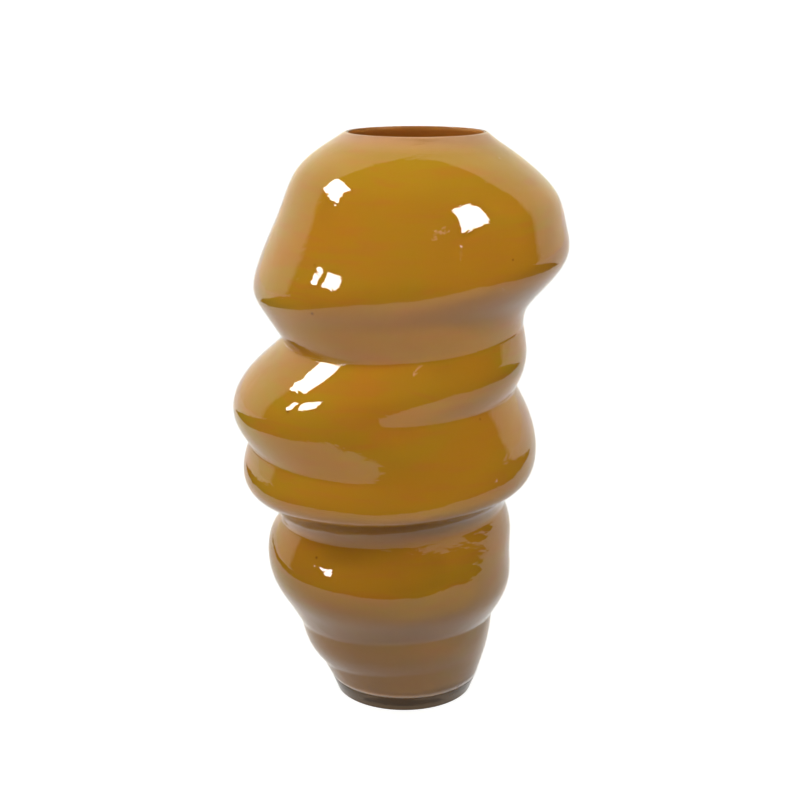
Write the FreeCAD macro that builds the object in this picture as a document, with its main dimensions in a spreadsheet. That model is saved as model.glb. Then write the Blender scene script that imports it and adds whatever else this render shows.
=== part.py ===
import FreeCAD, Part
import math
import os
import Sketcher

# A gourd vase: one free-blown body of cased glass, squeezed into soft leaning rolls while hot.
# Millimetres, +Z up. The origin is on the standing surface, under the middle of the body.

# Sizes that can each be set by itself
SIZES = [
    ("vase_height", 300.0),
    ("body_radius", 80.0),
    ("foot_height", 9.0),
    ("foot_top_radius", 40.5),
    ("ground_radius", 37.2),
    ("foot_shift", 2.2),
    ("foot_edge_round", 1.0),
    ("pontil_radius", 14.0),
    ("pontil_depth", 0.9),
    ("pontil_round", 0.6),
    ("lip_radius", 36.0),
    ("lip_shift", 8.0),
    ("lip_round", 0.75),
    ("mouth_round", 0.3),
    ("casing_wall", 1.6),
    ("colour_wall", 0.8),
    ("lining_wall", 1.6),
    ("casing_lip", 0.9),
    ("colour_lip", 0.5),
    ("lining_lip", 0.9),
    ("colour_floor", 0.9),
    ("lining_floor", 4.0),
    ("floor_round", 7.0),
]

# The outside of the body, round by round from the foot to the lip. Each round is a leaning circle. Its
# left and right ends swell out from the straight cone between the foot and the lip, by shares of the way
# from the cone out to body_radius, and their heights are shares of the body's height above the foot.
# front_rise is how much higher its front lies, as a share of that height, depth_shift how far its middle
# lies to the back, as a share of body_radius, and wall how much of the full wall it has, the rest being
# drawn thin towards the lip.
ROUND_COLUMNS = [
    "left_swell",
    "left_height",
    "right_swell",
    "right_height",
    "front_rise",
    "depth_shift",
    "wall",
]
ROUND_SHARES = [
    ("heel", 0.11, 0.024, 0.11, 0.048, 0.014, 0.0, 1.0),
    ("fifth_roll", 0.31, 0.062, 0.16, 0.086, 0.01, 0.004, 1.0),
    ("fifth_crease", 0.42, 0.105, 0.18, 0.12, 0.007, 0.01, 1.0),
    ("fourth_roll_under", 0.59, 0.144, 0.32, 0.153, 0.003, 0.015, 1.0),
    ("fourth_roll_low", 0.82, 0.203, 0.41, 0.203, -0.007, 0.013, 1.0),
    ("fourth_roll", 0.87, 0.244, 0.4, 0.244, -0.007, 0.028, 1.0),
    ("fourth_roll_top", 0.83, 0.275, 0.4, 0.289, -0.007, 0.065, 1.0),
    ("waist", 0.69, 0.302, 0.31, 0.332, -0.003, 0.03, 1.0),
    ("third_roll_neck", 0.74, 0.325, 0.32, 0.349, 0.003, 0.002, 1.0),
    ("third_roll_under", 0.96, 0.352, 0.45, 0.373, 0.0, -0.011, 1.0),
    ("third_roll", 1.17, 0.402, 0.64, 0.409, -0.02, -0.046, 1.0),
    ("left_crease", 1.09, 0.459, 0.68, 0.454, -0.012, -0.028, 1.0),
    ("second_roll", 1.27, 0.492, 0.61, 0.495, -0.003, 0.006, 1.0),
    ("right_crease", 1.22, 0.558, 0.39, 0.558, -0.015, -0.052, 1.0),
    ("small_roll", 0.91, 0.61, 0.51, 0.615, -0.017, -0.095, 1.0),
    ("neck_crease", 0.65, 0.643, 0.46, 0.674, -0.014, -0.1, 1.0),
    ("top_roll_neck", 0.76, 0.668, 0.48, 0.698, -0.014, -0.095, 1.0),
    ("top_roll_under", 0.95, 0.703, 0.65, 0.73, -0.01, -0.03, 1.0),
    ("top_roll", 1.04, 0.742, 0.96, 0.787, -0.007, 0.002, 1.0),
    ("top_roll_high", 0.91, 0.804, 0.95, 0.838, 0.0, 0.015, 1.0),
    ("shoulder_low", 0.73, 0.869, 0.84, 0.89, 0.0, 0.015, 1.0),
    ("shoulder", 0.56, 0.931, 0.59, 0.933, 0.0, 0.01, 0.9),
    ("shoulder_high", 0.31, 0.969, 0.3, 0.967, 0.0, 0.004, 0.6),
    ("below_lip", 0.1, 0.99, 0.08, 0.99, 0.0, 0.0, 0.3),
]
ROUND_NAMES = ["foot_top"] + [row[0] for row in ROUND_SHARES] + ["lip"]

# How many points go round a circle, and along an edge that is looked at to find it by its height
SPOKES = 24
EDGE_POINTS = 9

# How near a found edge must lie to where it is looked for, as a share of its own rounding or radius
NEAR_SHARE = 0.1
SAME_SHARE = 0.001

BODY_HEIGHT = "(sizes.vase_height - sizes.foot_height)"
COLOUR_DEPTH = "sizes.casing_wall"
COLOUR_LIP = "sizes.casing_lip"
LINING_DEPTH = "(sizes.casing_wall + sizes.colour_wall)"
LINING_LIP = "(sizes.casing_lip + sizes.colour_lip)"
HOLLOW_DEPTH = "(sizes.casing_wall + sizes.colour_wall + sizes.lining_wall)"
HOLLOW_LIP = "(sizes.casing_lip + sizes.colour_lip + sizes.lining_lip)"
LINING_FLOOR = "sizes.colour_floor"
HOLLOW_FLOOR = "(sizes.colour_floor + sizes.lining_floor)"


def fill_sheets(doc):
    sizes = doc.addObject("Spreadsheet::Sheet", "sizes")
    for row, (name, value) in enumerate(SIZES, start=1):
        sizes.set(f"A{row}", name)
        sizes.set(f"B{row}", str(value))
        sizes.setAlias(f"B{row}", name)
    rounds = doc.addObject("Spreadsheet::Sheet", "rounds")
    for row, (name, *shares) in enumerate(ROUND_SHARES, start=1):
        rounds.set(f"A{row}", name)
        for letter, column, share in zip("BCDEFGH", ROUND_COLUMNS, shares):
            rounds.set(f"{letter}{row}", str(share))
            rounds.setAlias(f"{letter}{row}", f"{name}_{column}_share")
    doc.recompute()
    return sizes


def add_circle(doc, name, radius, placement):
    circle = doc.addObject("Part::Circle", name)
    circle.setExpression("Radius", radius)
    circle.setExpression("Placement", placement)
    return circle


def level_round(doc, name, radius, side, height):
    return add_circle(doc, name, radius, f"placement(vector({side}; 0; {height}); rotation(0; 0; 0))")


# Where a round's left (-) or right (+) end lies along X: on the straight cone at that height, and out from
# it by its swell.
def round_end(swell, height, sign):
    cone_middle = f"(sizes.foot_shift + (sizes.lip_shift - sizes.foot_shift) * {height})"
    cone_radius = f"(sizes.foot_top_radius + (sizes.lip_radius - sizes.foot_top_radius) * {height})"
    return f"({cone_middle} {sign} ({cone_radius} + {swell} * (sizes.body_radius - {cone_radius})))"


# Each round of the outside follows its two ends: they give its middle, its radius and its lean.
def outside_round(doc, name):
    left_swell, left_height, right_swell, right_height, front_rise, depth_shift, _ = (
        f"rounds.{name}_{column}_share" for column in ROUND_COLUMNS
    )
    left = round_end(left_swell, left_height, "-")
    right = round_end(right_swell, right_height, "+")
    half_width = f"(({right} - {left}) / 2)"
    half_rise = f"({BODY_HEIGHT} * ({right_height} - {left_height}) / 2)"
    side = f"({right} + {left}) / 2"
    back = f"sizes.body_radius * {depth_shift}"
    height = f"sizes.foot_height + {BODY_HEIGHT} * ({right_height} + {left_height}) / 2"
    radius = f"hypot({half_width}; {half_rise})"
    side_lean = f"-1 * atan2({half_rise}; {half_width})"
    back_lean = f"-1 * atan2({BODY_HEIGHT} * {front_rise}; {radius})"
    placement = f"placement(vector({side}; {back}; {height}); rotation(0; {side_lean}; {back_lean}))"
    return add_circle(doc, f"outside_{name}", radius, placement)


# A round of a skin further in lies behind the outside by the given depth, square to the wall. The wall's
# slope comes from the rounds below and above.
def inner_round(doc, skin, number, depth, lip_depth):
    name = ROUND_NAMES[number]
    here = f"outside_{name}"
    below = f"outside_{ROUND_NAMES[number - 1]}"
    above = f"outside_{ROUND_NAMES[number + 1]}"
    climb = f"({above}.Placement.Base.z - {below}.Placement.Base.z)"
    slope = f"atan2({below}.Radius - {above}.Radius; {climb})"
    behind = f"({lip_depth} + ({depth} - {lip_depth}) * rounds.{name}_wall_share)"
    radius = f"{here}.Radius / 1mm - {behind} * cos({slope})"
    sunk = f"placement(vector(0; 0; -1 * {behind} * sin({slope})); rotation(0; 0; 0))"
    return add_circle(doc, f"{skin}_{name}", radius, f"{here}.Placement * {sunk}")


# How far the wall runs from round to round, on average about the body: a skin's rounds are that far apart
# along its surface.
def wall_steps(circles):
    turns = [math.tau * turn / SPOKES for turn in range(SPOKES)]
    rings = [[circle.Shape.Curve.value(turn) for turn in turns] for circle in circles]
    steps = [0.0]
    for lower, upper in zip(rings, rings[1:]):
        run = sum(one.distanceToPoint(other) for one, other in zip(lower, upper)) / SPOKES
        steps.append(steps[-1] + run)
    return steps


def spline_through(vectors, steps):
    curve = Part.BSplineCurve()
    curve.interpolate(Points=vectors, Parameters=steps)
    return curve


# The smooth surface through the rounds. Every point of a round is its middle plus a side and a depth vector
# times the cosine and sine of the turn, so one spline up the body carries each of the three.
def surface_through(circles, steps):
    middles = [circle.Placement.Base for circle in circles]
    arms = [circle.Placement.Rotation for circle in circles]
    sides = [arm.multVec(FreeCAD.Vector(circle.Radius.Value, 0, 0)) for arm, circle in zip(arms, circles)]
    depths = [arm.multVec(FreeCAD.Vector(0, circle.Radius.Value, 0)) for arm, circle in zip(arms, circles)]
    middle, side, depth = (spline_through(vectors, steps) for vectors in (middles, sides, depths))
    turns = [math.tau * turn / SPOKES for turn in range(SPOKES)]
    unit_circle = Part.BSplineCurve()
    unit_circle.interpolate(
        Points=[FreeCAD.Vector(math.cos(turn), math.sin(turn), 0) for turn in turns], PeriodicFlag=True
    )
    rows = list(zip(middle.getPoles(), side.getPoles(), depth.getPoles()))
    poles = [[m + s * around.x + d * around.y for m, s, d in rows] for around in unit_circle.getPoles()]
    surface = Part.BSplineSurface()
    surface.buildFromPolesMultsKnots(
        poles,
        unit_circle.getMultiplicities(),
        middle.getMultiplicities(),
        unit_circle.getKnots(),
        middle.getKnots(),
        True,
        False,
        unit_circle.Degree,
        middle.Degree,
    )
    return surface


def add_skin(doc, name, circles, steps):
    doc.recompute()
    wall = surface_through(circles, steps).toShape()
    rings = [edge for edge in wall.Edges if not edge.isSeam(wall)]
    caps = [Part.Face(Part.Wire([ring])) for ring in rings]
    shell = Part.makeShell([wall] + caps)
    shell.sewShape()
    skin = doc.addObject("Part::Feature", name)
    skin.Shape = Part.makeSolid(shell)
    return skin


def make_outside(doc):
    foot_top = ("sizes.foot_top_radius", "sizes.foot_shift", "sizes.foot_height")
    lip = ("sizes.lip_radius", "sizes.lip_shift", "sizes.vase_height")
    circles = [level_round(doc, "outside_foot_top", *foot_top)]
    circles += [outside_round(doc, name) for name in ROUND_NAMES[1:-1]]
    circles.append(level_round(doc, "outside_lip", *lip))
    doc.recompute()
    steps = wall_steps(circles)
    return add_skin(doc, "outside", circles, steps), steps


# A skin further in starts level with the outside, where its wall slopes as the outside's lowest stretch.
def make_inner_skin(doc, name, depth, lip_depth, steps):
    climb = "(outside_heel.Placement.Base.z - outside_foot_top.Placement.Base.z)"
    slope = f"atan2(outside_foot_top.Radius - outside_heel.Radius; {climb})"
    bottom_radius = f"sizes.foot_top_radius - {depth} / cos({slope})"
    circles = [level_round(doc, f"{name}_foot_top", bottom_radius, "sizes.foot_shift", "sizes.foot_height")]
    for number in range(1, len(ROUND_NAMES) - 1):
        circles.append(inner_round(doc, name, number, depth, lip_depth))
    lip_radius = f"sizes.lip_radius - {lip_depth}"
    circles.append(level_round(doc, f"{name}_lip", lip_radius, "sizes.lip_shift", "sizes.vase_height"))
    return add_skin(doc, name, circles, steps)


def add_cut(doc, name, base, tool):
    cut = doc.addObject("Part::Cut", name)
    cut.Base = base
    cut.Tool = tool
    doc.recompute()
    return cut


# The floor under a skin: what lies lower than its thickness above the foot is taken off the skin.
def raise_bottom(doc, skin, floor):
    block = doc.addObject("Part::Cylinder", f"{skin.Name}_block")
    block.setExpression("Radius", "sizes.body_radius")
    block.setExpression("Height", floor)
    block.setExpression("Placement.Base.z", "sizes.foot_height")
    return add_cut(doc, f"{skin.Name}_above_floor", skin, block)


# The edge to round is the level one at the given height whose middle radius is nearest to the one given.
def round_edge(doc, name, base, height, radius, rounding):
    best = []
    for number, edge in enumerate(base.Shape.Edges, start=1):
        points = edge.discretize(EDGE_POINTS)
        if all(abs(point.z - height) < rounding * NEAR_SHARE for point in points):
            best.append((abs(edge.Length / math.tau - radius), number))
    number = min(best)[1]
    fillet = doc.addObject("Part::Fillet", name)
    fillet.Base = base
    fillet.Edges = [(number, rounding, rounding)]
    doc.recompute()
    return fillet


# The clear casing: the outer gather, an open sleeve from the foot up to the lip, whose outer edge was
# rounded in the flame.
def make_casing(doc, sizes, outside, colour_face):
    sleeve = add_cut(doc, "casing_sleeve", outside, colour_face)
    casing = round_edge(doc, "casing", sleeve, sizes.vase_height, sizes.lip_radius, sizes.lip_round)
    casing.Label = "clear_casing"
    return casing


# The colour layer: a thin cup of ochre glass between the casing and the lining.
def make_colour(doc, colour_face, lining_face):
    colour = add_cut(doc, "colour", colour_face, lining_face)
    colour.Label = "colour_layer"
    return colour


# The lining: the inner amber gather, with a thick floor that runs into the wall in a round, and the inner
# edge of the lip.
def make_lining(doc, sizes, lining_face, hollow):
    floor_height = sizes.foot_height + sizes.colour_floor + sizes.lining_floor
    floor_radius = sizes.foot_top_radius - sizes.casing_wall - sizes.colour_wall - sizes.lining_wall
    space = round_edge(doc, "space", hollow, floor_height, floor_radius, sizes.floor_round)
    cup = add_cut(doc, "lining_cup", lining_face, space)
    mouth_radius = sizes.lip_radius - sizes.casing_lip - sizes.colour_lip - sizes.lining_lip
    lining = round_edge(doc, "lining", cup, sizes.vase_height, mouth_radius, sizes.mouth_round)
    lining.Label = "amber_lining"
    return lining


def origin_plane(body, role):
    return next(plane for plane in body.Origin.OriginFeatures if plane.Role == role)


def attach_sketch(body, name, role):
    sketch = body.newObject("Sketcher::SketchObject", name)
    sketch.AttachmentSupport = [(origin_plane(body, role), "")]
    sketch.MapMode = "FlatFace"
    return sketch


def drive(sketch, name, kind, *places):
    number = sketch.addConstraint(Sketcher.Constraint(kind, *places))
    sketch.renameConstraint(number, name)
    sketch.setExpression(f"Constraints.{name}", f"sizes.{name}")


def draw_foot_profile(body, sizes):
    sketch = attach_sketch(body, "foot_profile", "XZ_Plane")
    ground = sizes.ground_radius
    top = sizes.foot_top_radius
    height = sizes.foot_height
    corners = [(0, 0), (ground, 0), (top, height), (0, height)]
    for start, end in zip(corners, corners[1:] + corners[:1]):
        sketch.addGeometry(Part.LineSegment(FreeCAD.Vector(*start, 0), FreeCAD.Vector(*end, 0)))
    for line in range(4):
        sketch.addConstraint(Sketcher.Constraint("Coincident", line, 2, (line + 1) % 4, 1))
    sketch.addConstraint(Sketcher.Constraint("Coincident", 0, 1, -1, 1))
    sketch.addConstraint(Sketcher.Constraint("Horizontal", 0))
    sketch.addConstraint(Sketcher.Constraint("Horizontal", 2))
    sketch.addConstraint(Sketcher.Constraint("Vertical", 3))
    drive(sketch, "ground_radius", "DistanceX", 0, 1, 0, 2, ground)
    drive(sketch, "foot_top_radius", "DistanceX", 2, 2, 2, 1, top)
    drive(sketch, "foot_height", "DistanceY", 3, 2, 3, 1, height)
    return sketch


def edge_name(feature, radius, height):
    for number, edge in enumerate(feature.Shape.Edges, start=1):
        curve = edge.Curve
        if isinstance(curve, Part.Circle) and abs(curve.Radius - radius) < radius * SAME_SHARE:
            if abs(curve.Center.z - height) < radius * SAME_SHARE:
                return f"Edge{number}"
    raise ValueError(f"{feature.Name} has no level edge of radius {radius} at height {height}")


def round_body_edge(doc, body, name, radius, height, size_name):
    base = body.Tip
    fillet = body.newObject("PartDesign::Fillet", name)
    fillet.Base = (base, [edge_name(base, radius, height)])
    fillet.setExpression("Radius", f"sizes.{size_name}")
    doc.recompute()


# The foot: a thick clear disc pressed on under the body. Its side flares up to the casing, and its
# underside is ground flat round a shallow polished hollow, where it was broken off the iron.
def make_foot(doc, sizes):
    body = doc.addObject("PartDesign::Body", "foot")
    body.Label = "clear_foot"
    body.setExpression("Placement.Base.x", "sizes.foot_shift")
    profile = draw_foot_profile(body, sizes)
    disc = body.newObject("PartDesign::Revolution", "foot_disc")
    disc.Profile = profile
    disc.ReferenceAxis = (profile, ["V_Axis"])
    doc.recompute()
    outline = attach_sketch(body, "pontil_outline", "XY_Plane")
    outline.addGeometry(Part.Circle(FreeCAD.Vector(0, 0, 0), FreeCAD.Vector(0, 0, 1), sizes.pontil_radius))
    outline.addConstraint(Sketcher.Constraint("Coincident", 0, 3, -1, 1))
    drive(outline, "pontil_radius", "Radius", 0, sizes.pontil_radius)
    hollow = body.newObject("PartDesign::Pocket", "pontil_hollow")
    hollow.Profile = outline
    hollow.setExpression("Length", "sizes.pontil_depth")
    hollow.Reversed = True
    doc.recompute()
    if hollow.Shape.Volume >= disc.Shape.Volume:
        raise ValueError("the pontil hollow cuts nothing from the foot")
    round_body_edge(doc, body, "pontil_edge", sizes.pontil_radius, sizes.pontil_depth, "pontil_round")
    round_body_edge(doc, body, "foot_edge", sizes.ground_radius, 0, "foot_edge_round")
    return body


def check(doc, parts):
    for thing in doc.Objects:
        if "Invalid" in thing.State or "Error" in thing.State:
            raise ValueError(f"{thing.Name} failed: {thing.getStatusString()}")
    for part in parts:
        if part.Shape.isNull() or not part.Shape.isValid() or len(part.Shape.Solids) != 1:
            raise ValueError(f"{part.Label} is not one valid solid")


def build():
    doc = FreeCAD.newDocument("gourd_vase")
    sizes = fill_sheets(doc)
    outside, steps = make_outside(doc)
    colour_face = make_inner_skin(doc, "colour_face", COLOUR_DEPTH, COLOUR_LIP, steps)
    lining_skin = make_inner_skin(doc, "lining_face", LINING_DEPTH, LINING_LIP, steps)
    lining_face = raise_bottom(doc, lining_skin, LINING_FLOOR)
    hollow_skin = make_inner_skin(doc, "hollow", HOLLOW_DEPTH, HOLLOW_LIP, steps)
    hollow = raise_bottom(doc, hollow_skin, HOLLOW_FLOOR)
    parts = [
        make_foot(doc, sizes),
        make_casing(doc, sizes, outside, colour_face),
        make_colour(doc, colour_face, lining_face),
        make_lining(doc, sizes, lining_face, hollow),
    ]
    doc.recompute()
    check(doc, parts)
    os.makedirs("parts", exist_ok=True)
    for part in parts:
        part.Shape.exportStep(f"parts/{part.Label}.step")
        print(part.Label, round(part.Shape.Volume), "cubic millimetres")


build()
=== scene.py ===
"""A gourd vase of cased blown glass, dressed over its CAD frame.

The body is a stack of leaning rounds. Every point of a round is its middle, plus its side arm times
the cosine of the turn, plus its depth arm times the sine, and smooth curves up the body carry the
three from round to round. Each layer of glass is that form moved inwards, square to the wall, by
the thickness outside it.
"""

import bpy
import numpy as np
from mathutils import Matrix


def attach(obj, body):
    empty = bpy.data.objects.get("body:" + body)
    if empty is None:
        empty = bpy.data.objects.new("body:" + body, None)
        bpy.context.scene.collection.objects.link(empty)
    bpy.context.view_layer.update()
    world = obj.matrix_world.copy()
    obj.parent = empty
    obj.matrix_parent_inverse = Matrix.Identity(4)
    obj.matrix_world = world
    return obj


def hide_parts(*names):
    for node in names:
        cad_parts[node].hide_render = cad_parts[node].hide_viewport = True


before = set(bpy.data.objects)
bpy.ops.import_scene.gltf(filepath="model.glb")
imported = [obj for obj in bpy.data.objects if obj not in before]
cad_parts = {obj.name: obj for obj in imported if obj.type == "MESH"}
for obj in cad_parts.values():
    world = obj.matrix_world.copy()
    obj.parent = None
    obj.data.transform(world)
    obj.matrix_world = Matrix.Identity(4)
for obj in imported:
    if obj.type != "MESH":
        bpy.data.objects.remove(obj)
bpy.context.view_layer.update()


# The amber lining
# The inner gather of transparent amber glass, blown first, with a thick floor. It is seen inside
# the mouth. All layers were squeezed together into soft leaning rolls, so the form that they share
# is worked out here.
VASE_HEIGHT = 0.300
BODY_RADIUS = 0.080
FOOT_HEIGHT = 0.009
FOOT_TOP_RADIUS = 0.0405
FOOT_SHIFT = 0.0022
LIP_RADIUS = 0.036
LIP_SHIFT = 0.008
CASING_WALL = 0.0016
COLOUR_WALL = 0.0008
LINING_WALL = 0.0016
CASING_LIP = 0.0009
COLOUR_LIP = 0.0005
LINING_LIP = 0.0009
COLOUR_FLOOR = 0.0009
LINING_FLOOR = 0.0040
# how far a layer reaches into the one outside it, so that no gap shows between the two
KISS = 0.00004

# swell of the left end, its height, swell of the right end, its height, rise of the front, shift to
# the back, share of the full wall
ROUNDS = {
    "heel": (0.11, 0.024, 0.11, 0.048, 0.014, 0.0, 1.0),
    "fifth_roll": (0.31, 0.062, 0.16, 0.086, 0.01, 0.004, 1.0),
    "fifth_crease": (0.42, 0.105, 0.18, 0.12, 0.007, 0.01, 1.0),
    "fourth_roll_under": (0.59, 0.144, 0.32, 0.153, 0.003, 0.015, 1.0),
    "fourth_roll_low": (0.82, 0.203, 0.41, 0.203, -0.007, 0.013, 1.0),
    "fourth_roll": (0.87, 0.244, 0.4, 0.244, -0.007, 0.028, 1.0),
    "fourth_roll_top": (0.83, 0.275, 0.4, 0.289, -0.007, 0.065, 1.0),
    "waist": (0.69, 0.302, 0.31, 0.332, -0.003, 0.03, 1.0),
    "third_roll_neck": (0.74, 0.325, 0.32, 0.349, 0.003, 0.002, 1.0),
    "third_roll_under": (0.96, 0.352, 0.45, 0.373, 0.0, -0.011, 1.0),
    "third_roll": (1.17, 0.402, 0.64, 0.409, -0.02, -0.046, 1.0),
    "left_crease": (1.09, 0.459, 0.68, 0.454, -0.012, -0.028, 1.0),
    "second_roll": (1.27, 0.492, 0.61, 0.495, -0.003, 0.006, 1.0),
    "right_crease": (1.22, 0.558, 0.39, 0.558, -0.015, -0.052, 1.0),
    "small_roll": (0.91, 0.61, 0.51, 0.615, -0.017, -0.095, 1.0),
    "neck_crease": (0.65, 0.643, 0.46, 0.674, -0.014, -0.1, 1.0),
    "top_roll_neck": (0.76, 0.668, 0.48, 0.698, -0.014, -0.095, 1.0),
    "top_roll_under": (0.95, 0.703, 0.65, 0.73, -0.01, -0.03, 1.0),
    "top_roll": (1.04, 0.742, 0.96, 0.787, -0.007, 0.002, 1.0),
    "top_roll_high": (0.91, 0.804, 0.95, 0.838, 0.0, 0.015, 1.0),
    "shoulder_low": (0.73, 0.869, 0.84, 0.89, 0.0, 0.015, 1.0),
    "shoulder": (0.56, 0.931, 0.59, 0.933, 0.0, 0.01, 0.9),
    "shoulder_high": (0.31, 0.969, 0.3, 0.967, 0.0, 0.004, 0.6),
    "below_lip": (0.1, 0.99, 0.08, 0.99, 0.0, 0.0, 0.3),
}
ROUND_SHARES = np.array(list(ROUNDS.values()))
WALL_SHARES = np.concatenate([[1.0], ROUND_SHARES[:, 6], [0.0]])


def body_rounds():
    """Middle, side arm and depth arm of every round, foot to lip. A round's ends swell out from the
    straight cone between the foot and the lip, by a share of the way from the cone out to the
    body's radius. The side arm joins the two ends. The depth arm is as long, and leans so that the
    front is higher by its rise."""
    left_swell, left_height, right_swell, right_height, rise, shift, _ = ROUND_SHARES.T

    def end(swell, height, sign):
        cone_middle = FOOT_SHIFT + (LIP_SHIFT - FOOT_SHIFT) * height
        cone_radius = FOOT_TOP_RADIUS + (LIP_RADIUS - FOOT_TOP_RADIUS) * height
        return cone_middle + sign * (cone_radius + swell * (BODY_RADIUS - cone_radius))

    left = end(left_swell, left_height, -1)
    right = end(right_swell, right_height, 1)
    climb = VASE_HEIGHT - FOOT_HEIGHT
    half_width = (right - left) / 2
    half_rise = climb * (right_height - left_height) / 2
    radius = np.hypot(half_width, half_rise)
    side_lean = np.arctan2(half_rise, half_width)
    back_lean = np.arctan2(-climb * rise, radius)
    height = FOOT_HEIGHT + climb * (right_height + left_height) / 2
    middle = np.stack([(right + left) / 2, BODY_RADIUS * shift, height], 1)
    level = np.zeros_like(radius)
    side = radius[:, None] * np.stack([np.cos(side_lean), level, np.sin(side_lean)], 1)
    depth = radius[:, None] * np.stack([
        -np.sin(side_lean) * np.sin(back_lean),
        np.cos(back_lean),
        np.cos(side_lean) * np.sin(back_lean),
    ], 1)
    foot_top = [[FOOT_SHIFT, 0, FOOT_HEIGHT], [FOOT_TOP_RADIUS, 0, 0], [0, FOOT_TOP_RADIUS, 0]]
    lip = [[LIP_SHIFT, 0, VASE_HEIGHT], [LIP_RADIUS, 0, 0], [0, LIP_RADIUS, 0]]
    return np.concatenate([[foot_top], np.stack([middle, side, depth], 1), [lip]])


def spline(knots, values, at):
    """The natural cubic spline through values at knots: the second derivatives solve the usual
    three-term equations, and each span is the cubic that they and its two ends give."""
    span = np.diff(knots)
    count = len(knots)
    system = np.eye(count)
    inner = np.arange(1, count - 1)
    system[inner, inner - 1] = span[:-1]
    system[inner, inner] = 2 * (span[:-1] + span[1:])
    system[inner, inner + 1] = span[1:]
    flat = values.reshape(count, -1)
    wanted = np.zeros_like(flat)
    wanted[1:-1] = 6 * np.diff(np.diff(flat, axis=0) / span[:, None], axis=0)
    bend = np.linalg.solve(system, wanted)
    place = np.clip(np.searchsorted(knots, at) - 1, 0, count - 2)
    width = span[place][:, None]
    low = ((knots[place + 1] - at) / span[place])[:, None]
    high = 1 - low
    curve = low * flat[place] + high * flat[place + 1]
    curve += ((low**3 - low) * bend[place] + (high**3 - high) * bend[place + 1]) * width**2 / 6
    return curve.reshape((len(at),) + values.shape[1:])


def folded_spline(knots, values, at, folds):
    """A natural spline of its own from each fold to the next, so that the curve may turn sharply
    there."""
    ends = [0, *folds, len(knots) - 1]
    curve = np.zeros((len(at),) + values.shape[1:])
    for first, last in zip(ends, ends[1:]):
        here = (at >= knots[first]) & (at <= knots[last])
        curve[here] = spline(knots[first:last + 1], values[first:last + 1], at[here])
    return curve


# how many points go round the body, how many rows go up it, and how many points measure the wall
TURNS = 256
ROWS = 200
SPOKES = 24
# rows as close as this to a fold give way to the fold's own rows
FOLD_SPACE = 0.0016
FOLD_ROWS = np.array([-0.0012, -0.0004, 0.0004, 0.0012])
FOLDS_ALL_ROUND = ["heel", "fifth_crease", "waist", "neck_crease"]
FOLD_ON_THE_LEFT = "left_crease"
FOLD_ON_THE_RIGHT = "right_crease"
# how much of a one-sided fold is left at the front and back, and how fast it fades there
FADE_MIDDLE = 0.45
FADE_RATE = 1.1


def even_turns(count):
    """Angles of count points evenly round a circle."""
    return np.linspace(0, 2 * np.pi, count, endpoint=False)


def rings_through(middle, side, depth, turn):
    """Rings of points: each is middle + side cos turn + depth sin turn."""
    return middle[:, None] + side[:, None] * np.cos(turn) + depth[:, None] * np.sin(turn)


def body_outside():
    """The grid of the outside, ring by ring up the body, and each ring's share of the full wall.
    The middle and the two arms are splines up the body, where the rounds stand as far apart as the
    wall runs between them. The folds on one side only fade out round the body: each adds a smooth
    share of the step from the grid without it to the grid with it."""
    rounds = body_rounds()
    middle, side, depth = np.moveaxis(rounds, 1, 0)
    rings = rings_through(middle, side, depth, even_turns(SPOKES)[:, None])
    runs = np.linalg.norm(np.diff(rings, axis=0), axis=2).mean(1)
    knots = np.concatenate([[0], np.cumsum(runs)])
    number = {name: place for place, name in enumerate(ROUNDS, 1)}
    all_round = [number[name] for name in FOLDS_ALL_ROUND]
    on_the_left = number[FOLD_ON_THE_LEFT]
    on_the_right = number[FOLD_ON_THE_RIGHT]
    at = np.linspace(0, knots[-1], ROWS)
    for fold in [*all_round, on_the_left, on_the_right]:
        at = np.concatenate([at[np.abs(at - knots[fold]) > FOLD_SPACE], knots[fold] + FOLD_ROWS])
    at = np.sort(at)
    turn = even_turns(TURNS)[:, None]

    def grid_with(folds):
        middle, side, depth = np.moveaxis(folded_spline(knots, rounds, at, sorted(folds)), 1, 0)
        return rings_through(middle, side, depth, turn)

    grid = plain = grid_with(all_round)
    for fold, sign in ((on_the_left, -1), (on_the_right, 1)):
        share = np.clip(FADE_MIDDLE + FADE_RATE * sign * np.cos(turn), 0, 1)
        share = share**2 * (3 - 2 * share)
        grid = grid + share * (grid_with([*all_round, fold]) - plain)
    return grid, spline(knots, WALL_SHARES, at)


def outward(grid):
    """Unit normals of a ring-by-turn grid: the cross product of its slopes round the body and up
    it."""
    around = np.roll(grid, -1, 1) - np.roll(grid, 1, 1)
    upward = np.gradient(grid, axis=0)
    normal = np.cross(around, upward)
    return normal / np.linalg.norm(normal, axis=2, keepdims=True)


outside, wall_share = body_outside()
normals = outward(outside)
# the faces where the layers meet take every other ring, and the last
spaced = np.append(np.arange(0, len(outside) - 1, 2), len(outside) - 1)


def at_depth(full, lip):
    """The body's surface moved inwards, square to the wall, by lip at the mouth and full below it.
    Its last ring stays level with the lip."""
    depth = lip + (full - lip) * wall_share
    grid = outside - normals * depth[:, None, None]
    middle = np.array([LIP_SHIFT, 0, VASE_HEIGHT])
    grid[-1] = middle + (outside[-1] - middle) * (LIP_RADIUS - lip) / LIP_RADIUS
    return grid


CORNER_RINGS = 5


def rounded(before, corner, after, length):
    """Rings that round a corner: a parabola that leaves the wall and meets the next face at length
    from the corner, tangent to both."""
    down = (before - corner) / np.linalg.norm(before - corner, axis=1, keepdims=True)
    along = (after - corner) / np.linalg.norm(after - corner, axis=1, keepdims=True)
    share = np.linspace(0, 1, CORNER_RINGS)[:, None, None]
    return corner + length * (down * (1 - share) ** 2 + along * share**2)


def add_object(name, data):
    """A new object that holds data, in the scene."""
    thing = bpy.data.objects.new(name, data)
    bpy.context.scene.collection.objects.link(thing)
    return thing


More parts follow.
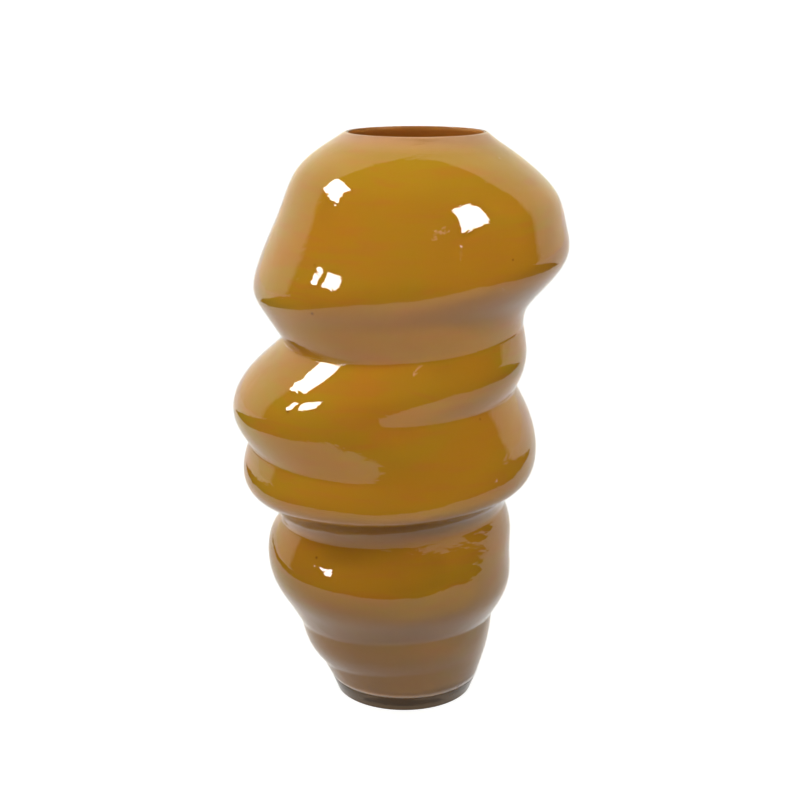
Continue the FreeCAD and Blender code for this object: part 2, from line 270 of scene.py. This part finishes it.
def make_piece(name, grid, poles=()):
    """One closed mesh from a ring-by-turn grid: quads between neighbouring rings, joined round the
    turn. Its first and last ring are closed to a pole each, or joined to each other where there are
    no poles."""
    rings, turns = grid.shape[:2]
    points = np.concatenate([grid.reshape(-1, 3), np.asarray(poles, float).reshape(-1, 3)])
    rows = np.arange(rings - 1 if len(poles) else rings)
    around = np.arange(turns)
    after = (around + 1) % turns
    low = rows[:, None] * turns
    high = (rows[:, None] + 1) % rings * turns
    quads = np.stack([low + around, low + after, high + after, high + around], -1)
    faces = quads.reshape(-1, 4).tolist()
    if len(poles):
        first_pole = rings * turns
        last_ring = first_pole - turns
        faces += np.stack([after, around, np.full(turns, first_pole)], 1).tolist()
        last_fan = [last_ring + around, last_ring + after, np.full(turns, first_pole + 1)]
        faces += np.stack(last_fan, 1).tolist()
    mesh = bpy.data.meshes.new(name)
    mesh.from_pydata(points.tolist(), [], faces)
    mesh.polygons.foreach_set("use_smooth", np.ones(len(mesh.polygons), bool))
    mesh.update()
    return add_object(name, mesh)


GLASS_IOR = 1.5


class Shading:
    """A node material: its Principled shader, and short calls that add and link nodes."""

    def __init__(self, name):
        self.material = bpy.data.materials.new(name)
        self.material.use_nodes = True
        self.nodes = self.material.node_tree.nodes
        self.links = self.material.node_tree.links
        self.shader = self.nodes["Principled BSDF"]
        self.output = self.nodes["Material Output"]

    def put(self, socket, value):
        """Link another node's output to the socket, or set the socket to a plain value."""
        if isinstance(value, bpy.types.NodeSocket):
            self.links.new(value, socket)
        else:
            socket.default_value = value

    def add(self, kind, settings=None, **inputs):
        """A new node of a kind, with its settings and its inputs, an underline for each space."""
        node = self.nodes.new(kind)
        for key, value in (settings or {}).items():
            setattr(node, key, value)
        for key, value in inputs.items():
            self.put(node.inputs[key.replace("_", " ")], value)
        return node

    def look(self, **inputs):
        """Set the shader's own inputs, each to a plain value or to a pattern."""
        for key, value in inputs.items():
            self.put(self.shader.inputs[key.replace("_", " ")], value)

    def math(self, operation, *values):
        """The result of one operation on the values."""
        node = self.add("ShaderNodeMath", {"operation": operation})
        for socket, value in zip(node.inputs, values):
            self.put(socket, value)
        return node.outputs[0]

    def times(self, first, second):
        return self.math("MULTIPLY", first, second)

    def step(self, value, start, end):
        """A smooth step from 0 at start to 1 at end."""
        settings = {"interpolation_type": "SMOOTHSTEP"}
        node = self.add("ShaderNodeMapRange", settings, Value=value, From_Min=start, From_Max=end)
        return node.outputs[0]

    def noise(self, place, scale, detail, distortion):
        """A cloudy pattern between 0 and 1, with scale clouds to the metre."""
        inputs = {"Scale": scale, "Detail": detail, "Distortion": distortion}
        return self.add("ShaderNodeTexNoise", Vector=place, **inputs).outputs["Fac"]

    def blend(self, share, first, second):
        """The first colour, and the second by a share."""
        node = self.add("ShaderNodeMix", {"data_type": "RGBA"})
        for number, value in ((0, share), (6, first), (7, second)):
            self.put(node.inputs[number], value)
        return node.outputs[2]

    def place(self, squeeze=1.0):
        """The object's own coordinates, with the pattern squeezed that many times in height."""
        coords = self.add("ShaderNodeTexCoord").outputs["Object"]
        if squeeze == 1.0:
            return coords
        return self.add("ShaderNodeMapping", Vector=coords, Scale=(1, 1, squeeze)).outputs[0]

    def split(self, place):
        """The three parts of a place, a direction or a colour."""
        return self.add("ShaderNodeSeparateXYZ", Vector=place).outputs

    def bump(self, height, distance, strength=1.0):
        """Shade the surface as if it were raised by height times distance."""
        node = self.add("ShaderNodeBump", Height=height, Distance=distance, Strength=strength)
        self.look(Normal=node.outputs[0])

    def mix_shaders(self, share, first, second):
        """The surface is the first shader, and the second by a share."""
        mix = self.add("ShaderNodeMixShader")
        for socket, value in zip(mix.inputs, (share, first.outputs[0], second.outputs[0])):
            self.links.new(value, socket)
        self.links.new(mix.outputs[0], self.output.inputs["Surface"])

    def glass(self, colour, roughness):
        """Glass that light passes through, tinted by colour."""
        self.look(Base_Color=colour, Roughness=roughness, IOR=GLASS_IOR, Transmission_Weight=1.0)

    def let_light_through(self, colour):
        """Shadow rays pass straight through the glass, tinted by colour, so that what it covers is
        lit."""
        rays = self.add("ShaderNodeLightPath")
        clear = self.add("ShaderNodeBsdfTransparent", Color=colour)
        self.mix_shaders(rays.outputs["Is Shadow Ray"], self.shader, clear)


def dress(piece, shading, node):
    """Give the piece its glass, and put it in the place of the CAD model's node."""
    piece.data.materials.append(shading.material)
    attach(piece, "root")
    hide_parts(node)


AMBER_PALE = (0.98, 0.84, 0.58, 1)
AMBER_DEEP = (0.94, 0.74, 0.42, 1)
AMBER_IN_SHADOW = (0.96, 0.84, 0.66, 1)
AMBER_CORDS = {"scale": 55, "detail": 3.0, "distortion": 0.6}
AMBER_CORD_DEPTH = 0.0004
AMBER_CORD_SQUEEZE = 0.35
MOUTH_ROUND = 0.00085

lining_depth = CASING_WALL + COLOUR_WALL
lining_lip = CASING_LIP + COLOUR_LIP
floor_bottom = FOOT_HEIGHT + COLOUR_FLOOR
floor_top = floor_bottom + LINING_FLOOR
lining_out = at_depth(lining_depth - KISS, lining_lip - KISS)[spaced]
lining_in = at_depth(lining_depth + LINING_WALL, lining_lip + LINING_LIP)[spaced]
lining_out[:, :, 2] = np.maximum(lining_out[:, :, 2], floor_bottom - KISS)
lining_in[:, :, 2] = np.maximum(lining_in[:, :, 2], floor_top)
mouth_edge = rounded(lining_out[-1], lining_in[-1], lining_in[-2], MOUTH_ROUND)
lining = make_piece(
    "amber_lining_visual",
    np.concatenate([lining_out, mouth_edge, lining_in[-2::-1]]),
    poles=[(FOOT_SHIFT, 0, floor_bottom - KISS), (FOOT_SHIFT, 0, floor_top)],
)
amber = Shading("amber lining glass")
cords = amber.noise(amber.place(AMBER_CORD_SQUEEZE), **AMBER_CORDS)
amber.glass(amber.blend(cords, AMBER_PALE, AMBER_DEEP), roughness=0.0)
amber.bump(cords, AMBER_CORD_DEPTH)
amber.let_light_through(AMBER_IN_SHADOW)
dress(lining, amber, "amber_lining")


# The colour layer
# A thin cup of opaque ochre glass gathered over the lining. It gives the vase its colour, and was
# drawn out thinner towards the lip, where it is also painted paler as a painted highlight on the
# lip's edge. It has faint olive and russet swirls that follow the rolls, and holds a few dark
# specks.
# The undersides of the rolls are painted paler, as painted light from the table below, and the
# faces inside the hollow a lighter ochre, as painted light in the dim hollow.
OCHRE = (0.475, 0.224, 0.015, 1)
OLIVE = (0.41, 0.268, 0.014, 1)
RUSSET = (0.49, 0.186, 0.022, 1)
# the thinner colour near the lip, made paler partly as a painted highlight on the lip's edge
THIN_OCHRE_AND_LIP_HIGHLIGHT = (0.66, 0.33, 0.12, 1)
# painted light: the paler ochre of the roll undersides, standing in for light from the table below
UNDERSIDE_PAINTED_LIGHT_OCHRE = (0.60, 0.29, 0.10, 1)
SPECK = (0.17, 0.07, 0.008, 1)
# painted light: a lighter ochre for the faces inside the hollow, standing in for light that reaches
# it
INSIDE_PAINTED_LIGHT_OCHRE = (0.70, 0.29, 0.025, 1)
BLACK = (0, 0, 0, 1)
OCHRE_ROUGHNESS = 0.4

# the two swirling patterns, how much they are squeezed in height, and where each begins and is full
OLIVE_SWIRL = {"scale": 11, "detail": 3.0, "distortion": 1.2}
OLIVE_SQUEEZE = 2.6
OLIVE_RANGE = (0.42, 0.66)
RUSSET_SWIRL = {"scale": 30, "detail": 2.0, "distortion": 0.8}
RUSSET_SQUEEZE = 7
RUSSET_RANGE = (0.46, 0.70)
RUSSET_MOST = 0.5
# the olive swirl has its least share in front, grows towards the flanks, and covers the shoulder
OLIVE_LEAST = 0.4
OLIVE_AT_FLANKS = 0.5
FLANKS = (0.03, 0.08)
OLIVE_ON_SHOULDER = 0.6
SHOULDER = (0.262, 0.288)
# how far a face looks down for the painted light on the underside, a paler ochre, to begin and be
# full
UNDERSIDE_PAINTED_LIGHT_RANGE = (0.05, -0.75)
UNDERSIDE_PAINTED_LIGHT_MOST = 0.45
# specks: cells per metre, where a speck ends and is full, the cells' chance to have none, strength
SPECK_CELLS = 75
SPECK_EDGE = (0.075, 0.04)
SPECK_RARITY = 0.78
SPECK_MOST = 0.8
# heights between which the body darkens towards the foot, and the colour thins towards the lip and
# is painted paler there, partly as a painted highlight on the lip's edge
LOW_BODY = (0.15, 0.02)
LOW_BODY_SHADE = 0.34
NEAR_LIP = (0.291, 0.299)
NEAR_LIP_PALE_AND_HIGHLIGHT = 0.8
NEAR_LIP_CLEAR = 0.4


def spots(shading, place, cells, edge, rarity):
    """Small round spots, 1 in the middle and 0 outside: a Voronoi pattern's distance from the
    points of those cells whose random value is over rarity."""
    pattern = shading.add("ShaderNodeTexVoronoi", Vector=place, Scale=cells)
    chance = shading.split(pattern.outputs["Color"])[0]
    near = shading.step(pattern.outputs["Distance"], *edge)
    return shading.times(near, shading.math("GREATER_THAN", chance, rarity))


colour_out = at_depth(CASING_WALL - KISS, CASING_LIP - KISS)[spaced]
colour_in = at_depth(lining_depth, lining_lip)[spaced]
colour_in[:, :, 2] = np.maximum(colour_in[:, :, 2], floor_bottom)
colour = make_piece(
    "colour_layer_visual",
    np.concatenate([colour_out, colour_in[::-1]]),
    poles=[(FOOT_SHIFT, 0, FOOT_HEIGHT), (FOOT_SHIFT, 0, floor_bottom)],
)
inside = np.zeros(len(colour.data.vertices))
inside[len(colour_out) * TURNS:] = 1
colour.data.attributes.new("inside", "FLOAT", "POINT").data.foreach_set("value", inside)

ochre = Shading("ochre colour glass")
across, _, up = ochre.split(ochre.place())
at_flanks = ochre.step(ochre.math("ABSOLUTE", across), *FLANKS)
olive_most = ochre.math("MULTIPLY_ADD", at_flanks, OLIVE_AT_FLANKS, OLIVE_LEAST)
olive_swirl = ochre.noise(ochre.place(OLIVE_SQUEEZE), **OLIVE_SWIRL)
olive_share = ochre.times(ochre.step(olive_swirl, *OLIVE_RANGE), olive_most)
on_shoulder = ochre.times(ochre.step(up, *SHOULDER), OLIVE_ON_SHOULDER)
tint = ochre.blend(ochre.math("MAXIMUM", olive_share, on_shoulder), OCHRE, OLIVE)
russet_swirl = ochre.noise(ochre.place(RUSSET_SQUEEZE), **RUSSET_SWIRL)
tint = ochre.blend(ochre.times(ochre.step(russet_swirl, *RUSSET_RANGE), RUSSET_MOST), tint, RUSSET)
facing_up = ochre.split(ochre.add("ShaderNodeNewGeometry").outputs["Normal"])[2]
# painted light: faces that look down are painted paler, standing in for light from the white table
# below
tint = ochre.blend(ochre.times(ochre.step(facing_up, *UNDERSIDE_PAINTED_LIGHT_RANGE), UNDERSIDE_PAINTED_LIGHT_MOST), tint, UNDERSIDE_PAINTED_LIGHT_OCHRE)
specks = spots(ochre, ochre.place(), SPECK_CELLS, SPECK_EDGE, SPECK_RARITY)
tint = ochre.blend(ochre.times(specks, SPECK_MOST), tint, SPECK)
# painted light: the faces inside the hollow are painted a lighter ochre, standing in for light in
# the dim hollow
is_inside = ochre.add("ShaderNodeAttribute", {"attribute_name": "inside"}).outputs["Fac"]
tint = ochre.blend(is_inside, tint, INSIDE_PAINTED_LIGHT_OCHRE)
shaded = ochre.blend(LOW_BODY_SHADE, tint, BLACK)
tint = ochre.blend(ochre.step(up, *LOW_BODY), tint, shaded)
# near the lip the colour is thinner and lets light through; it is also painted paler there, partly
# as a painted highlight on the lip's edge
thin = ochre.step(up, *NEAR_LIP)
ochre.look(
    Base_Color=ochre.blend(ochre.times(thin, NEAR_LIP_PALE_AND_HIGHLIGHT), tint, THIN_OCHRE_AND_LIP_HIGHLIGHT),
    Transmission_Weight=ochre.times(thin, NEAR_LIP_CLEAR),
    Roughness=OCHRE_ROUGHNESS,
    Specular_IOR_Level=0.0,
)
dress(colour, ochre, "colour_layer")


# The clear casing
# The last gather, clear glass over the colour. Its fire-polished outside carries every highlight,
# and its outer edge was rounded in the flame at the lip. It has faint ripples from the squeezing,
# and a few seeds.
LIP_ROUND = 0.0006
COLOURLESS = (1, 1, 1, 1)
RIPPLES = {"scale": 34, "detail": 4.0, "distortion": 0.4}
RIPPLE_SQUEEZE = 1.6
RIPPLE_DEPTH = 0.0006
RIPPLE_STRENGTH = 0.8
# seeds: cells per metre, where a seed ends and is full, the cells' chance to have none, and how
# much higher than a ripple a seed stands
SEED_CELLS = 62
SEED_SQUEEZE = 1.4
SEED_EDGE = (0.075, 0.02)
SEED_RARITY = 0.86
SEED_HEIGHT = 1.5

casing_in = at_depth(CASING_WALL, CASING_LIP)[spaced]
lip_edge = rounded(outside[-2], outside[-1], casing_in[-1], LIP_ROUND)
casing_rings = np.concatenate([outside[:-1], lip_edge, casing_in[::-1]])
casing = make_piece("clear_casing_visual", casing_rings)
clear = Shading("clear casing glass")
clear.glass(COLOURLESS, roughness=0.0)
ripples = clear.noise(clear.place(RIPPLE_SQUEEZE), **RIPPLES)
seeds = spots(clear, clear.place(SEED_SQUEEZE), SEED_CELLS, SEED_EDGE, SEED_RARITY)
relief = clear.math("MULTIPLY_ADD", seeds, SEED_HEIGHT, ripples)
clear.bump(relief, RIPPLE_DEPTH, RIPPLE_STRENGTH)
clear.let_light_through(COLOURLESS)
dress(casing, clear, "clear_casing")


# The foot
# A thick disc of slightly smoky clear glass, pressed on under the body while hot. Its standing ring
# is ground flat, round a shallow polished hollow where the vase was broken off the iron.
GROUND_RADIUS = 0.0372
FOOT_EDGE_ROUND = 0.0010
PONTIL_RADIUS = 0.014
PONTIL_DEPTH = 0.0009
# radius of the smallest ring, round the middle of the foot's top and of its hollow
EYE_RADIUS = 0.001
# how finely each run of the foot's outline is divided
QUARTER_POINTS = 6
HOLLOW_STEPS = 5
RING_STEPS = 7
SIDE_STEPS = 11
TOP_STEPS = 11
SMOKE_PALE = (0.12, 0.060, 0.022, 1)
SMOKE_DEEP = (0.08, 0.036, 0.012, 1)
SMOKE_IN_SHADOW = (0.5, 0.42, 0.35, 1)
SMOKE_ROUGHNESS = 0.04
SMOKE_CLEAR = 0.2
SMOKE_SHINE = 0.2
SMOKE_SHINE_TINT = (1, 0.84, 0.6, 1)
SMOKE_CORDS = {"scale": 60, "detail": 3.0, "distortion": 0.5}
SMOKE_CORD_SQUEEZE = 4
SMOKE_CORD_DEPTH = 0.0003


def between(start, end, steps):
    """Points of a profile in equal steps from start to end, without those two."""
    return np.linspace(start, end, steps + 1)[1:-1]


def foot_profile():
    """Radius and height of the foot's outline, from the middle of its hollow, under the ring and up
    the flaring side to the middle of its top. Two quarter circles join the straight runs: the edge
    of the hollow, and the outer edge of the ground ring."""
    turn = np.linspace(0, np.pi / 2, QUARTER_POINTS)
    hollow_middle = (EYE_RADIUS, PONTIL_DEPTH)
    hollow_edge = np.stack([
        PONTIL_RADIUS - PONTIL_DEPTH * np.cos(turn),
        PONTIL_DEPTH * (1 - np.sin(turn)),
    ], 1)
    ring_edge = np.stack([
        GROUND_RADIUS - FOOT_EDGE_ROUND * (1 - np.sin(turn)),
        FOOT_EDGE_ROUND * (1 - np.cos(turn)),
    ], 1)
    top_edge = (FOOT_TOP_RADIUS, FOOT_HEIGHT)
    top_middle = (EYE_RADIUS, FOOT_HEIGHT)
    return np.concatenate([
        [hollow_middle],
        between(hollow_middle, hollow_edge[0], HOLLOW_STEPS),
        hollow_edge,
        between(hollow_edge[-1], ring_edge[0], RING_STEPS),
        ring_edge,
        between(ring_edge[-1], top_edge, SIDE_STEPS),
        [top_edge],
        between(top_edge, top_middle, TOP_STEPS),
        [top_middle],
    ])


radius, height = foot_profile().T[:, :, None]
turn = even_turns(TURNS)
foot = make_piece(
    "clear_foot_visual",
    np.stack([FOOT_SHIFT + radius * np.cos(turn), radius * np.sin(turn), height + 0 * turn], -1),
    poles=[(FOOT_SHIFT, 0, PONTIL_DEPTH), (FOOT_SHIFT, 0, FOOT_HEIGHT)],
)
smoky = Shading("smoky foot glass")
cords = smoky.noise(smoky.place(SMOKE_CORD_SQUEEZE), **SMOKE_CORDS)
smoky.glass(smoky.blend(cords, SMOKE_PALE, SMOKE_DEEP), SMOKE_ROUGHNESS)
smoky.look(
    Transmission_Weight=SMOKE_CLEAR,
    Specular_IOR_Level=SMOKE_SHINE,
    Specular_Tint=SMOKE_SHINE_TINT,
)
smoky.bump(cords, SMOKE_CORD_DEPTH)
smoky.let_light_through(SMOKE_IN_SHADOW)
dress(foot, smoky, "clear_foot")


# The table and the room
# A white table top with a white backdrop behind it, in a dark room whose windows mirror in the
# glass. Both are white to the camera, and the table keeps the vase's soft shadow.
TABLE_REACH = 9
TABLE_GREY = (0.45, 0.45, 0.45, 1)
TABLE_ROUGHNESS = 0.9
# in the glass, the table ends here and the dark room begins
TABLE_FRONT = 0.53
TABLE_LEFT = 0.46
TABLE_RIGHT = 0.62
TABLE_BACK = 0.6
ROOM_LIGHT = 0.03
ROOM_GREY = (ROOM_LIGHT, ROOM_LIGHT, ROOM_LIGHT, 1)
WHITE_TO_CAMERA = 0.9
WHITE_IN_GLASS = 0.8
# a ray that met a dull face on its way has a count of 1 or more
NO_DULL_FACE = 0.5

table_mesh = bpy.data.meshes.new("table_top")
corners = [(x * TABLE_REACH, y * TABLE_REACH, 0) for x, y in ((-1, -1), (1, -1), (1, 1), (-1, 1))]
table_mesh.from_pydata(corners, [], [(0, 1, 2, 3)])
table = add_object("table_top", table_mesh)
white = Shading("white table")
across, back, _ = white.split(white.place())
past_front = white.math("LESS_THAN", back, -TABLE_FRONT)
past_left = white.math("LESS_THAN", across, -TABLE_LEFT)
past_side = white.math("MAXIMUM", past_left, white.math("GREATER_THAN", across, TABLE_RIGHT))
before_back = white.math("LESS_THAN", back, TABLE_BACK)
past_edge = white.math("MAXIMUM", past_front, white.times(past_side, before_back))
# mirrored as white only where the ray comes straight from the glass, not by way of a dull face
rays = white.add("ShaderNodeLightPath").outputs
seen = white.times(rays["Is Camera Ray"], WHITE_TO_CAMERA)
straight = white.math("LESS_THAN", rays["Diffuse Depth"], NO_DULL_FACE)
mirrored = white.times(white.times(rays["Is Glossy Ray"], straight), WHITE_IN_GLASS)
white.look(
    Base_Color=TABLE_GREY,
    Roughness=TABLE_ROUGHNESS,
    Specular_IOR_Level=0.0,
    Emission_Color=COLOURLESS,
    Emission_Strength=white.math("ADD", seen, mirrored),
)
room = white.add("ShaderNodeEmission", Color=ROOM_GREY)
white.mix_shaders(white.times(past_edge, rays["Is Glossy Ray"]), white.shader, room)
table_mesh.materials.append(white.material)

# the backdrop's sides and top, as slopes seen from the vase, and how softly each ends
BACKDROP_SIDE = 0.20
BACKDROP_SIDE_EDGE = (-0.06, 0.06)
BACKDROP_TOP = 4.5
BACKDROP_TOP_EDGE = (-0.05, 0.15)
BACKDROP_LIGHT = 1.1
BACKDROP_TINT = (1, 0.96, 0.78, 1)


class WorldShading(Shading):
    """The same short calls for the nodes of the world."""

    def __init__(self, world):
        self.nodes = world.node_tree.nodes
        self.links = world.node_tree.links
        self.shader = self.nodes["Background"]


world = bpy.data.worlds.new("studio")
world.use_nodes = True
bpy.context.scene.world = world
sky = WorldShading(world)
across, back, up = sky.split(sky.add("ShaderNodeTexCoord").outputs["Generated"])
from_side = sky.math("SUBTRACT", back, sky.times(sky.math("ABSOLUTE", across), BACKDROP_SIDE))
from_top = sky.math("SUBTRACT", sky.times(back, BACKDROP_TOP), up)
within_sides = sky.step(from_side, *BACKDROP_SIDE_EDGE)
backdrop = sky.times(within_sides, sky.step(from_top, *BACKDROP_TOP_EDGE))
light = sky.math("MULTIPLY_ADD", backdrop, BACKDROP_LIGHT, ROOM_LIGHT)
to_camera = sky.add("ShaderNodeLightPath").outputs["Is Camera Ray"]
sky.look(
    Strength=sky.math("MAXIMUM", to_camera, light),
    Color=sky.blend(to_camera, BACKDROP_TINT, COLOURLESS),
)


def add_lamp(name, kind, power, place, mirrored):
    """A lamp that the camera doesn't see. A mirrored lamp only shows in the glass, and any other
    only lights it."""
    light = bpy.data.lights.new(name, kind)
    light.energy = power
    lamp = add_object(name, light)
    lamp.location = place
    lamp.visible_camera = False
    lamp.visible_glossy = mirrored
    lamp.visible_transmission = mirrored
    lamp.visible_diffuse = not mirrored
    return lamp


VASE_MIDDLE = (0, 0, 0.2)


def add_window(
    name, azimuth, elevation, distance, width, height, radiance, tint=(1, 1, 1), mirrored=True
):
    """A rectangular lamp in the direction azimuth (to the right of straight ahead of the vase) and
    elevation, facing the vase. Its power is radiance times area times pi."""
    side, rise = np.radians(azimuth), np.radians(elevation)
    way = np.array([np.sin(side) * np.cos(rise), -np.cos(side) * np.cos(rise), np.sin(rise)])
    power = radiance * width * height * np.pi
    lamp = add_lamp(name, "AREA", power, np.array(VASE_MIDDLE) + distance * way, mirrored)
    lamp.rotation_euler = (np.pi / 2 - rise, 0, side)
    lamp.data.shape = "RECTANGLE"
    lamp.data.size = width
    lamp.data.size_y = height
    lamp.data.color = tint


# the daylight that falls into the hollow through the mouth and the thin walls
INNER_LIGHT_POWER = 0.04
INNER_LIGHT_PLACE = (0, 0, 0.19)
INNER_LIGHT_RADIUS = 0.02

inner_light = add_lamp("inner_light", "POINT", INNER_LIGHT_POWER, INNER_LIGHT_PLACE, mirrored=False)
inner_light.data.shadow_soft_size = INNER_LIGHT_RADIUS

WINDOW_LIGHT = 25
WINDOW_DISTANCE = 2.0
FAR_WINDOW_LIGHT = 3
FAR_WINDOW_TINT = (1, 0.68, 0.62)
FILL_LIGHT = 2.75
FILL_DISTANCE = 3.4
FILL_TINT = (1, 0.94, 0.87)

add_window("left_window", -90, 38, WINDOW_DISTANCE, 0.66, 0.56, WINDOW_LIGHT)
add_window("left_low_pane", -77, 18, WINDOW_DISTANCE, 0.18, 0.26, WINDOW_LIGHT)
add_window("left_low_pane_beside", -63, 18, WINDOW_DISTANCE, 0.46, 0.26, WINDOW_LIGHT)
add_window("right_window", 45, 38.5, WINDOW_DISTANCE, 0.72, 0.68, WINDOW_LIGHT)
add_window(
    "far_window", 15, 32.5, WINDOW_DISTANCE, 0.42, 0.045, FAR_WINDOW_LIGHT, FAR_WINDOW_TINT
)
add_window(
    "front_fill", -16, 24, FILL_DISTANCE, 3.0, 2.0, FILL_LIGHT, FILL_TINT, mirrored=False
)

CAMERA_PLACE = (0, -0.7368, 0.358)
CAMERA_PITCH = 15
CAMERA_LENS = 65.25
CAMERA_SENSOR = 36
CAMERA_NEAREST = 0.01

camera_data = bpy.data.cameras.new("camera")
camera_data.lens = CAMERA_LENS
camera_data.sensor_width = CAMERA_SENSOR
camera_data.clip_start = CAMERA_NEAREST
camera = add_object("camera", camera_data)
camera.location = CAMERA_PLACE
camera.rotation_euler = (np.radians(90 - CAMERA_PITCH), 0, 0)
bpy.context.scene.camera = camera
bpy.context.scene.view_settings.view_transform = "Standard"
